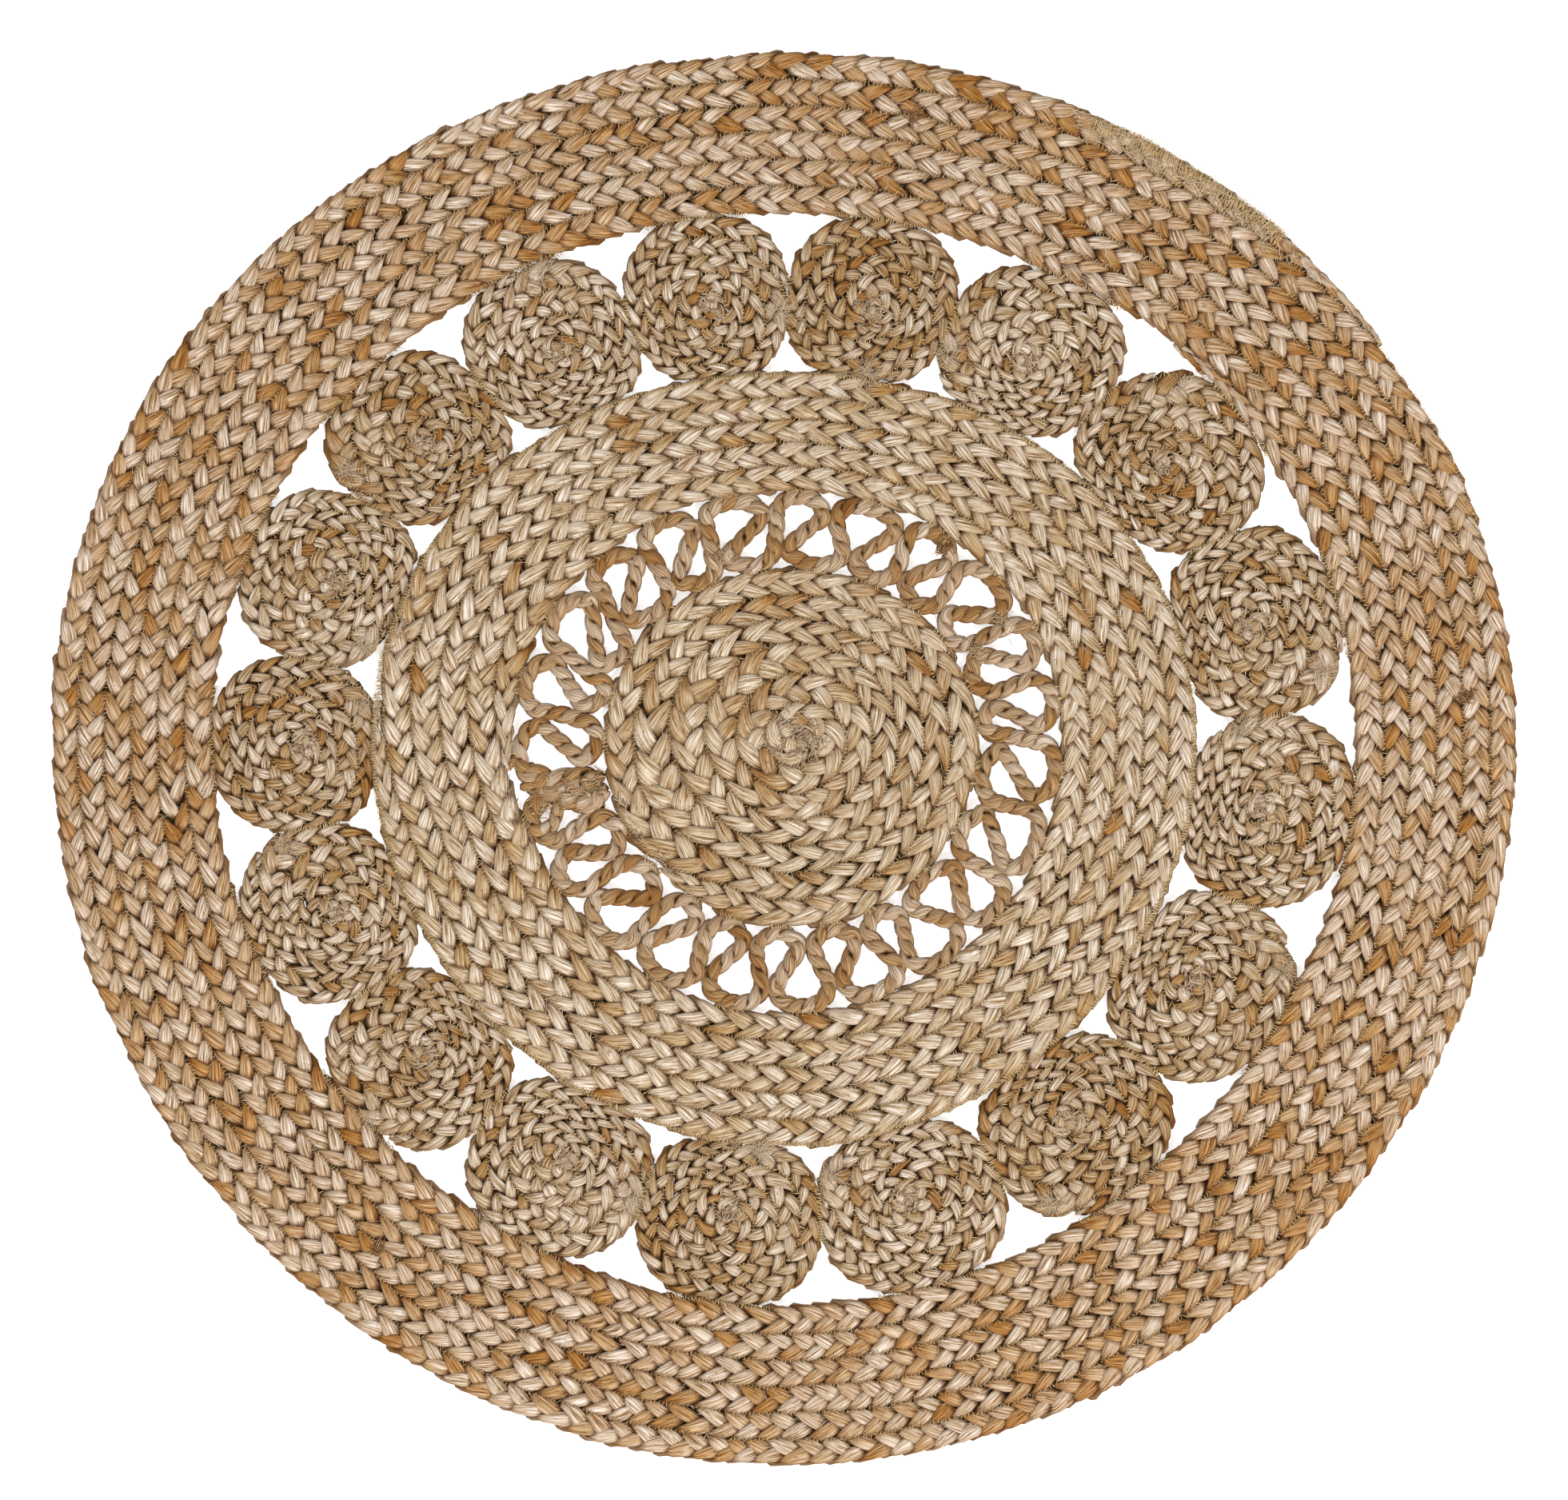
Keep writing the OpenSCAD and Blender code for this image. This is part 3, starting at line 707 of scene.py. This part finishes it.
# Directions of the places where a loop of the lace touches the one before it, near the ring, and
# of the necks between the loops, near the disc, in degrees
LOOP_TOUCH = [189, 173, 158, 142, 127.5, 112, 95, 80, 62.5, 48, 31, 18, 3.5,
              -12.5, -30, -45, -62, -78.5, -95, -111, -127.5, -143.5, -156.5, -171]
LOOP_NECK = [185, 170.5, 158, 143.5, 125, 110, 92.5, 72.5, 57, 42, 28, 13, 1,
             -17, -34.5, -55, -69.5, -85.5, -101.5, -116.5, -131, -147.5, -162, -175]
LACE_GAP = 0.5
LOOP_TOP = MIDDLE_IN - LACE_GAP - CORD_W / 2
LOOP_BOTTOM = DISC_R + LACE_GAP + CORD_W / 2
TOUCH_R, NECK_R = LOOP_TOP - 9.5, LOOP_BOTTOM + 10.5
# How far from a bend's ends its corners lie, in degrees and at most as a share of the bend, how
# far they are pulled in, and how long two neighbouring loops run side by side
TOP_CORNER, BOTTOM_CORNER, CORNER_SHARE, CORNER_PULL = 3.3, 4.3, 0.26, 3.2
SIDE_BY_SIDE = 4


def lace_route():
    """Route points of the lace cord as (radius, direction), loop by loop."""
    leg = lambda r: math.degrees(math.asin((CORD_W + 1) / 2 / r))
    first = LOOP_NECK[0]
    route = [(LOOP_BOTTOM + CORNER_PULL, first + BOTTOM_CORNER), (NECK_R, first + leg(NECK_R))]
    for i in range(len(LOOP_NECK) - 1):
        a, b = LOOP_TOUCH[i], LOOP_TOUCH[i + 1]
        w, q = a - b, min(TOP_CORNER, CORNER_SHARE * (a - b))
        low = TOUCH_R - SIDE_BY_SIDE
        route += [(low, a - leg(low)), (TOUCH_R, a - leg(TOUCH_R)),
                  (LOOP_TOP - CORNER_PULL, a - q), (LOOP_TOP, a - 0.4 * w),
                  (LOOP_TOP, a - 0.6 * w), (LOOP_TOP - CORNER_PULL, b + q),
                  (TOUCH_R, b + leg(TOUCH_R)), (low, b + leg(low))]
        c, d = LOOP_NECK[i], LOOP_NECK[i + 1]
        w, q = c - d, min(BOTTOM_CORNER, CORNER_SHARE * (c - d))
        route += [(NECK_R, c - leg(NECK_R)), (LOOP_BOTTOM + CORNER_PULL, c - q),
                  (LOOP_BOTTOM, c - 0.42 * w), (LOOP_BOTTOM, c - 0.58 * w),
                  (LOOP_BOTTOM + CORNER_PULL, d + q), (NECK_R, d + leg(NECK_R))]
    return np.array(route[:-3])


CURVE_STEPS = 16


def smooth_line(points, spacing):
    """A smooth line through the points, as even steps."""
    padded = np.concatenate([points[:1], points, points[-1:]])
    p, q, r, s = padded[:-3], padded[1:-2], padded[2:-1], padded[3:]
    t = np.linspace(0, 1, CURVE_STEPS, endpoint=False)[None, :, None]
    p, q, r, s = (v[:, None] for v in (p, q, r, s))
    line = 0.5 * (2 * q + (r - p) * t + (2 * p - 5 * q + 4 * r - s) * t**2
                  + (3 * q - p - 3 * r + s) * t**3)
    line = np.concatenate([line.reshape(-1, 2), points[-1:]])
    s = np.concatenate([[0], np.cumsum(np.linalg.norm(np.diff(line, axis=0), axis=1))])
    where = np.arange(0, s[-1], spacing)
    return np.stack([np.interp(where, s, line[:, 0]), np.interp(where, s, line[:, 1])], -1), where


# The length of one turn of the two plies, the distance between a ply's rings, and their sides
TWIST = 19.0
CORD_RINGS, PLY_SIDES = 1.25, 12
# How far a ply lies from the cord's middle, sideways and upwards, and its width and height, as
# shares of the cord's or of each other
PLY_OUT, PLY_RISE, PLY_WIDE, PLY_HIGH = 0.27, 0.15, 0.88, 0.85
# Direction of the splice, and the ways of the cord's ends in it as (radius, direction)
SPLICE = 191.5
SPLICE_WAYS = [[(165, 195), (152, 192), (135, 192), (116, 188)],
               [(164, 187), (150, 190), (133, 189.5), (116, 194)],
               [(150, 196), (140, 192), (128, 187)],
               [(163, 198), (153, 198), (144, 194), (133, 196), (120, 199)],
               [(160, 184), (150, 186), (142, 190), (130, 193)]]


def lay_cord(shape, rng, points, thick, height):
    """A cord of two plies twisted round each other, through the points of its plan."""
    line, s = smooth_line(points, CORD_RINGS)
    heading = np.gradient(line, axis=0)
    heading /= np.linalg.norm(heading, axis=1, keepdims=True)
    side = np.stack([heading[:, 1], -heading[:, 0]], -1)
    turn = 2 * np.pi * (s / TWIST + 0.17 * wander(rng, s, 26.0))
    for k in range(2):
        t = turn + np.pi * k
        z = height + CORD_H * PLY_RISE * np.sin(t)
        path = np.column_stack([line + side * (thick * PLY_OUT * np.cos(t))[:, None], z])[None]
        turns = (t / (2 * np.pi) + 0.25).astype(int)
        tint = rng.beta(1.3, 1.7, turns.max() + 2)[turns] + 0.15 * wander(rng, s, 120.0)
        streaks = lambda: np.stack([wander(rng, s, 9.0) for _ in range(PLY_SIDES)], -1)
        tint = tint[:, None] + 0.13 * streaks()
        lumps = 1 + 0.05 * streaks()[None]
        wide = thick * PLY_WIDE * (1 + 0.13 * wander(rng, s, 9.0)) * (1 - 0.12 * np.cos(2 * t))
        high = wide * PLY_HIGH
        swept = Shape().tubes(path, wide[None], high[None], PLY_SIDES, lumps=lumps)[0]
        middle_line = np.column_stack([line, np.full(len(line), height)])
        # Painted shade mask: dark in the valleys between the two plies and round the cord's
        # mid-height
        off = np.linalg.norm(swept - middle_line[:, None], axis=2) / (thick / 2)
        edge = np.abs(swept[..., 2] - height) / CORD_H
        gap = np.maximum(1 - smooth((off - 0.66) / 0.28), 0.6 * (1 - smooth(edge / 0.28)))
        shape.tubes(path, wide[None], high[None], PLY_SIDES, lumps=lumps, tint=tint[None],
                    gap=gap[None])


def lay_lace():
    """The lace cord, and its two ends laid over each other at the splice."""
    rng = np.random.default_rng(31)
    shape = Shape()
    route = lace_route()
    lay_cord(shape, rng, at(route[:, 0], route[:, 1]), CORD_W, CORD_H / 2)
    for way in SPLICE_WAYS:
        r, a = np.array(way, float).T
        lay_cord(shape, rng, at(r, a), CORD_W * 0.85, CORD_H * rng.uniform(0.42, 0.5))
    shape.piece("lace_plies", LACE, "jute_lace", "lace_cord")


lay_lace()

# The stitches at each bend of the lace, and half the length that they take
COMB_STITCHES, COMB_HALF = 11, 8.5


def lace_stitches(name, seed, radius, directions, node_name):
    """A few uneven stitches where each bend of the lace meets the disc or the ring."""
    rng = np.random.default_rng(seed)
    shape = Shape()
    for a in directions:
        place = lambda x, s: at(radius + x, a + np.degrees(s / radius))
        where = rng.uniform(-COMB_HALF, COMB_HALF, COMB_STITCHES)
        overcast(shape, rng, place, where, -2.6, 2.8, BRAID_H, 0.8, thick=0.45)
    shape.piece(name, THREAD, "sewing_thread", node_name)


bends_in = [(c + d) / 2 for c, d in zip(LOOP_NECK[:-2], LOOP_NECK[1:-1])]
bends_out = [(a + b) / 2 for a, b in zip(LOOP_TOUCH[:-1], LOOP_TOUCH[1:])]
lace_stitches("lace_inner_combs", 41, DISC_R + LACE_GAP, bends_in, "lace_inner_stitches")
lace_stitches("lace_outer_combs", 42, MIDDLE_IN - LACE_GAP, bends_out, "lace_outer_stitches")

# ---- Stitches between the rosettes and the rings ----

# Distances between the stitches, and how far the rows reach from the middle of each contact
INNER_PITCH, SIDE_PITCH, OUTSIDE_PITCH = 0.95, 1.0, 1.7
SIDE_FROM, SIDE_TO, OUTSIDE_REACH = -17, 18, 34
# The stitches along the outer ring lie a little lower than the others
OUTSIDE_H = 0.93 * BRAID_H


def sew_rosettes():
    """Stitches along the middle ring's edge, between the rosettes and along the outer ring."""
    rng = np.random.default_rng(51)
    inner, side, outside = Shape(), Shape(), Shape()
    place = lambda x, s: at(MIDDLE_OUT + x, np.degrees(s / MIDDLE_OUT))
    where = np.arange(0, 2 * np.pi * MIDDLE_OUT, INNER_PITCH)
    overcast(inner, rng, place, where, -3.4, 2.0, BRAID_H, 0.7)
    inner.piece("rosette_inner_stitching", THREAD, "sewing_thread", "rosette_inner_stitches")
    for i in range(ROSETTE_COUNT):
        border, front = rosette_dir(i) + rosette_half(i), rosette_dir(i)
        place = lambda x, s: at(ROSETTE_R + s, border + np.degrees(x / ROSETTE_R))
        where = np.arange(SIDE_FROM, SIDE_TO, SIDE_PITCH)
        overcast(side, rng, place, where, -3.2, 3.2, ROSETTE_H, 0.8)
        place = lambda x, s: at(OUTER_IN + x, front + np.degrees(s / OUTER_IN))
        where = np.arange(-OUTSIDE_REACH, OUTSIDE_REACH, OUTSIDE_PITCH)
        overcast(outside, rng, place, where, -2.8, 2.4, OUTSIDE_H, 1.1)
    side.piece("rosette_side_stitching", THREAD, "sewing_thread", "rosette_side_stitches")
    outside.piece("rosette_outer_stitching", THREAD, "sewing_thread", "rosette_outer_stitches")


sew_rosettes()

# ---- Loose fibres ----


def fibres(shape, rng, start, heading, length, low, lift, thick, curl=0.8):
    """Adds fine curved fibres from their starts in plan, each with its own heading in radians,
    length, lowest height, lift and thickness."""
    m, n = len(start), 6
    t = np.linspace(0, 1, n)[None]
    low = np.broadcast_to(low, m)[:, None]
    turn = heading[:, None] + rng.normal(0, curl, (m, 1)) * t
    step = length[:, None, None] / (n - 1) * np.stack([np.cos(turn), np.sin(turn)], -1)
    plan = start[:, None] + np.cumsum(step, 1) - step[:, :1]
    z = low + lift[:, None] * np.sin(np.pi * t * rng.uniform(0.6, 1.0, (m, 1)))
    lines = np.concatenate([plan, z[..., None]], -1)
    shape.tubes(lines, thick[:, None] * (1 - 0.4 * t), thick[:, None] * 0.7, THREAD_SIDES,
                tint=np.repeat(rng.random((m, 1)), n, 1))


def loose_fibres(name, seed, count, r0, r1, height, slot):
    """Stray fibres that lie on the braids of a band, mostly along them."""
    rng = np.random.default_rng(seed)
    shape = Shape()
    r = np.sqrt(rng.uniform(r0**2, r1**2, count))
    a = rng.uniform(0, 360, count)
    heading = np.radians(a - 90) + rng.normal(0, 0.6, count)
    fibres(shape, rng, at(r, a), heading, length=rng.gamma(4.0, 2.4, count), low=height * 0.88,
           lift=rng.gamma(2.0, 0.35, count), thick=rng.uniform(0.14, 0.36, count))
    shape.piece(name, FUZZ, slot)


loose_fibres("outer_ring_fuzz", 61, 5200, OUTER_IN + 2, RUG_R - 3, BRAID_H, "jute_outer")
loose_fibres("middle_ring_fuzz", 62, 2600, MIDDLE_IN + 2, MIDDLE_OUT, BRAID_H, "jute_middle")
loose_fibres("centre_disc_fuzz", 63, 1000, 4, DISC_R - 2, BRAID_H, "jute_disc")


# Where a rosette's braid ends: turns out, and degrees from where the coil starts
TAIL_TURNS, TAIL_TURN = 4.5, -43.0


def rosette_fuzz():
    """Each rosette's tangled middle, stray fibres, and the tuft where its braid ends."""
    rng = np.random.default_rng(64)
    wads, hairs = Shape(), Shape()
    for i in range(ROSETTE_COUNT):
        place = rosette_place(i)
        m = 90
        a = rng.uniform(0, 360, m)
        heading = np.radians(a + rosette_dir(i) - 90) + rng.normal(0, 0.6, m)
        fibres(wads, rng, place(rng.uniform(0, 1.1, m), a), heading,
               length=rng.uniform(3, 8, m), low=ROSETTE_H * 0.78,
               lift=rng.uniform(0.2, 1.4, m), thick=rng.uniform(0.5, 2.6, m), curl=1.0)
        m = 170
        turns = ROSETTE_TURNS * np.sqrt(rng.uniform(0, 0.95, m))
        fibres(hairs, rng, place(turns, rng.uniform(0, 360, m)), rng.uniform(0, 2 * np.pi, m),
               length=rng.gamma(4.0, 1.8, m), low=ROSETTE_H * 0.86,
               lift=rng.gamma(2.0, 0.4, m), thick=rng.uniform(0.16, 0.40, m))
        m = rng.integers(15, 90)
        root = place(TAIL_TURNS, ROSETTE_STEP * i + TAIL_TURN)
        fibres(hairs, rng, root + rng.normal(0, 2.5, (m, 2)), rng.uniform(0, 2 * np.pi, m),
               length=rng.uniform(6, 16, m), low=ROSETTE_H,
               lift=rng.uniform(0.8, 3.0, m), thick=rng.uniform(0.16, 0.36, m))
    wads.piece("rosette_wads", WAD, "jute_rosette")
    hairs.piece("rosette_fuzz", FUZZ, "jute_rosette")


rosette_fuzz()


# Places where the lace has frayed, as radius, direction and number of fibres
FRAYED = [(128, 110, 130), (125, 28, 100), (150, 31, 50)]
# Dark knots and one dark wrap round the lace, as radius, direction, number of fibres, and their
# heading from outwards
KNOTS = [(416, 79, 70, -90), (415.5, 5.5, 50, -90), (402, 231, 40, -90), (156, 52.5, 90, 0)]
# Where the ends of the rings and the disc are matted, as radius, direction and number of fibres
MATTED = [(MIDDLE_IN + 6, MIDDLE_STEP - 6, 110), (MIDDLE_OUT - 4, MIDDLE_STEP - 38, 110),
          (OUTER_IN + 6, OUTER_STEP - 5, 90), (DISC_R - 4, DISC_STEP - 38, 110)]


def disc_wad(rng):
    """The disc's tangled middle."""
    shape = Shape()
    m = 260
    a = rng.uniform(0, 360, m)
    fibres(shape, rng, at(rng.uniform(0, 18, m), a), np.radians(a - 90) + rng.normal(0, 0.8, m),
           length=rng.uniform(3, 9, m), low=BRAID_H * 0.78, lift=rng.uniform(0.4, 1.9, m),
           thick=rng.uniform(0.5, 2.4, m))
    shape.piece("centre_disc_wad", WAD, "jute_disc")


def lace_splice(rng):
    """The lace's matted splice and its frayed places."""
    shape = Shape()
    m = 330
    a = SPLICE + rng.normal(0, 2.2, m)
    out = rng.random(m) < 0.5
    r = np.where(out, rng.uniform(114, 155, m), rng.uniform(125, 164, m))
    heading = np.radians(a) + np.where(out, 0, np.pi) + rng.normal(0, 0.5, m)
    fibres(shape, rng, at(r, a), heading, length=rng.uniform(4, 9, m),
           low=rng.uniform(5, 8.2, m), lift=rng.uniform(0.3, 1.6, m),
           thick=rng.gamma(2.0, 0.3, m) + 0.2, curl=1.0)
    for r, a, m in FRAYED:
        place = a + rng.normal(0, 1.4, m)
        heading = np.radians(place) + rng.normal(0, 0.9, m)
        fibres(shape, rng, at(r + rng.normal(0, 2.5, m), place), heading,
               length=rng.uniform(3, 8, m), low=rng.uniform(7.0, 8.6, m),
               lift=rng.uniform(0.2, 0.8, m), thick=rng.uniform(0.3, 1.0, m), curl=1.0)
    shape.piece("lace_splice", SPLICED, "jute_lace")


def end_mats(rng):
    """The matted ends of the rings and the disc."""
    shape = Shape()
    for r, a, m in MATTED:
        place = a + rng.normal(0, 5.5, m) * 170 / r
        fibres(shape, rng, at(r + rng.normal(0, 1.6, m), place),
               np.radians(place - 90) + rng.normal(0, 0.25, m), length=rng.uniform(4, 11, m),
               low=rng.uniform(3.0, 8.2, m), lift=rng.uniform(0.3, 1.2, m),
               thick=rng.uniform(0.4, 1.8, m), curl=0.4)
    shape.piece("ring_end_mats", WAD, "jute_middle")


def knots(rng):
    """Dark knots in the sewing thread, and the wrap round the lace."""
    shape = Shape()
    for r, a, m, turn in KNOTS:
        place = at(r, a) + rng.normal(0, 2.0, (m, 2))
        heading = np.radians(a + turn) + rng.normal(0, 0.5, m)
        fibres(shape, rng, place, heading, length=rng.uniform(4, 9, m), low=BRAID_H * 0.88,
               lift=rng.uniform(0.3, 1.6, m), thick=rng.uniform(0.4, 1.3, m))
    shape.piece("knots", KNOT, "sewing_thread")


mat_rng = np.random.default_rng(65)
disc_wad(mat_rng)
lace_splice(mat_rng)
end_mats(mat_rng)
knots(mat_rng)

# Direction of the outer ring's end, half the length of the stitching over it, and its pitch
RIM_END, RIM_SEWN, RIM_PITCH = 55, 70, 0.62


def rim_end():
    """The outer ring's outer end: sewn flat to the rim with dense stitches, and frayed. The rest
    of the rim has short stray fibres."""
    rng = np.random.default_rng(66)
    shape, hairs = Shape(), Shape()
    middle = math.radians(RIM_END)
    place = lambda x, s: at(RUG_R + x, np.degrees(middle + s / RUG_R))
    where = np.arange(-RIM_SEWN, RIM_SEWN, RIM_PITCH)
    overcast(shape, rng, place, where, -9.5, 0.9, 1.06 * BRAID_H, 1.2, thick=0.55)
    overcast(shape, rng, place, where[::2], -15.0, -5.0, 1.06 * BRAID_H, 1.6)
    shape.piece("outer_ring_end_stitching", THREAD, "sewing_thread")
    m = 260
    s, x = rng.uniform(-85, 90, m), rng.uniform(-14, 0, m)
    heading = middle + s / RUG_R - np.pi / 2 + rng.normal(0, 0.5, m)
    fibres(hairs, rng, place(x, s), heading, length=rng.uniform(5, 16, m), low=BRAID_H * 0.95,
           lift=rng.uniform(0.4, 1.8, m), thick=rng.uniform(0.2, 0.55, m), curl=0.6)
    m = 900
    a = rng.uniform(0, 360, m)
    heading = np.radians(a - 90) + rng.normal(0.25, 0.35, m)
    fibres(hairs, rng, at(RUG_R - 1.5, a), heading, length=rng.gamma(3.0, 1.8, m),
           low=rng.uniform(2, 8, m), lift=rng.uniform(0.0, 0.6, m),
           thick=rng.uniform(0.15, 0.3, m), curl=0.5)
    hairs.piece("outer_ring_rim_fuzz", FUZZ, "jute_outer")


rim_end()

# ---- Floor, light and camera ----

# Half the floor's side, the width and the middle of what the camera sees, and the camera's height,
# all in metres
FLOOR_HALF = 30
FRAME_W = 0.978
FRAME_MIDDLE = (0.0, 0.0057)
CAMERA_UP = 3.2


def build_floor():
    """A plain pale floor."""
    material = bpy.data.materials.new("floor")
    material.use_nodes = True
    tree = material.node_tree
    shader = tree.nodes["Principled BSDF"]
    grain = node(tree, "ShaderNodeTexNoise", {"Scale": 30.0, "Detail": 2.0}).outputs["Fac"]
    pale = ramp(tree, grain, [(0.3, (0.93, 0.93, 0.93)), (0.7, (0.95, 0.95, 0.95))])
    tree.links.new(pale, shader.inputs["Base Color"])
    shader.inputs["Roughness"].default_value = 0.9
    shader.inputs["Specular IOR Level"].default_value = 0.1
    shader.inputs["Emission Color"].default_value = (1, 1, 1, 1)
    shader.inputs["Emission Strength"].default_value = 0.6
    mesh = bpy.data.meshes.new("floor")
    corners = [(x * FLOOR_HALF, y * FLOOR_HALF, 0) for x, y in ((-1, -1), (1, -1), (1, 1), (-1, 1))]
    mesh.from_pydata(corners, [], [(0, 1, 2, 3)])
    mesh.materials.append(material)
    floor = bpy.data.objects.new("floor", mesh)
    bpy.context.scene.collection.objects.link(floor)


def area_light(name, place, size, power, colour):
    """A square area light that faces the rug's middle."""
    lamp = bpy.data.lights.new(name, "AREA")
    lamp.size = size
    lamp.energy = power
    lamp.color = colour
    made = bpy.data.objects.new(name, lamp)
    made.location = place
    made.rotation_euler = made.location.to_track_quat("Z", "Y").to_euler()
    bpy.context.scene.collection.objects.link(made)


def build_light():
    """Soft studio light: one large lamp to the front right, a weaker one opposite, pale walls."""
    area_light("key", (2.4, -4.1, 4.6), 2.2, 410, (1.0, 0.985, 0.96))
    area_light("fill", (-3.6, 2.8, 4.8), 4.0, 125, (0.97, 0.985, 1.0))
    world = bpy.data.worlds.new("studio")
    world.use_nodes = True
    world.node_tree.nodes["Background"].inputs["Color"].default_value = (1, 1, 1, 1)
    world.node_tree.nodes["Background"].inputs["Strength"].default_value = 0.55
    bpy.context.scene.world = world
    bpy.context.scene.view_settings.view_transform = "Standard"


def build_camera():
    """A long lens straight above the rug."""
    lens = bpy.data.cameras.new("camera")
    lens.lens = lens.sensor_width * CAMERA_UP / FRAME_W
    camera = bpy.data.objects.new("camera", lens)
    camera.location = (*FRAME_MIDDLE, CAMERA_UP)
    bpy.context.scene.collection.objects.link(camera)
    bpy.context.scene.camera = camera


build_floor()
build_light()
build_camera()
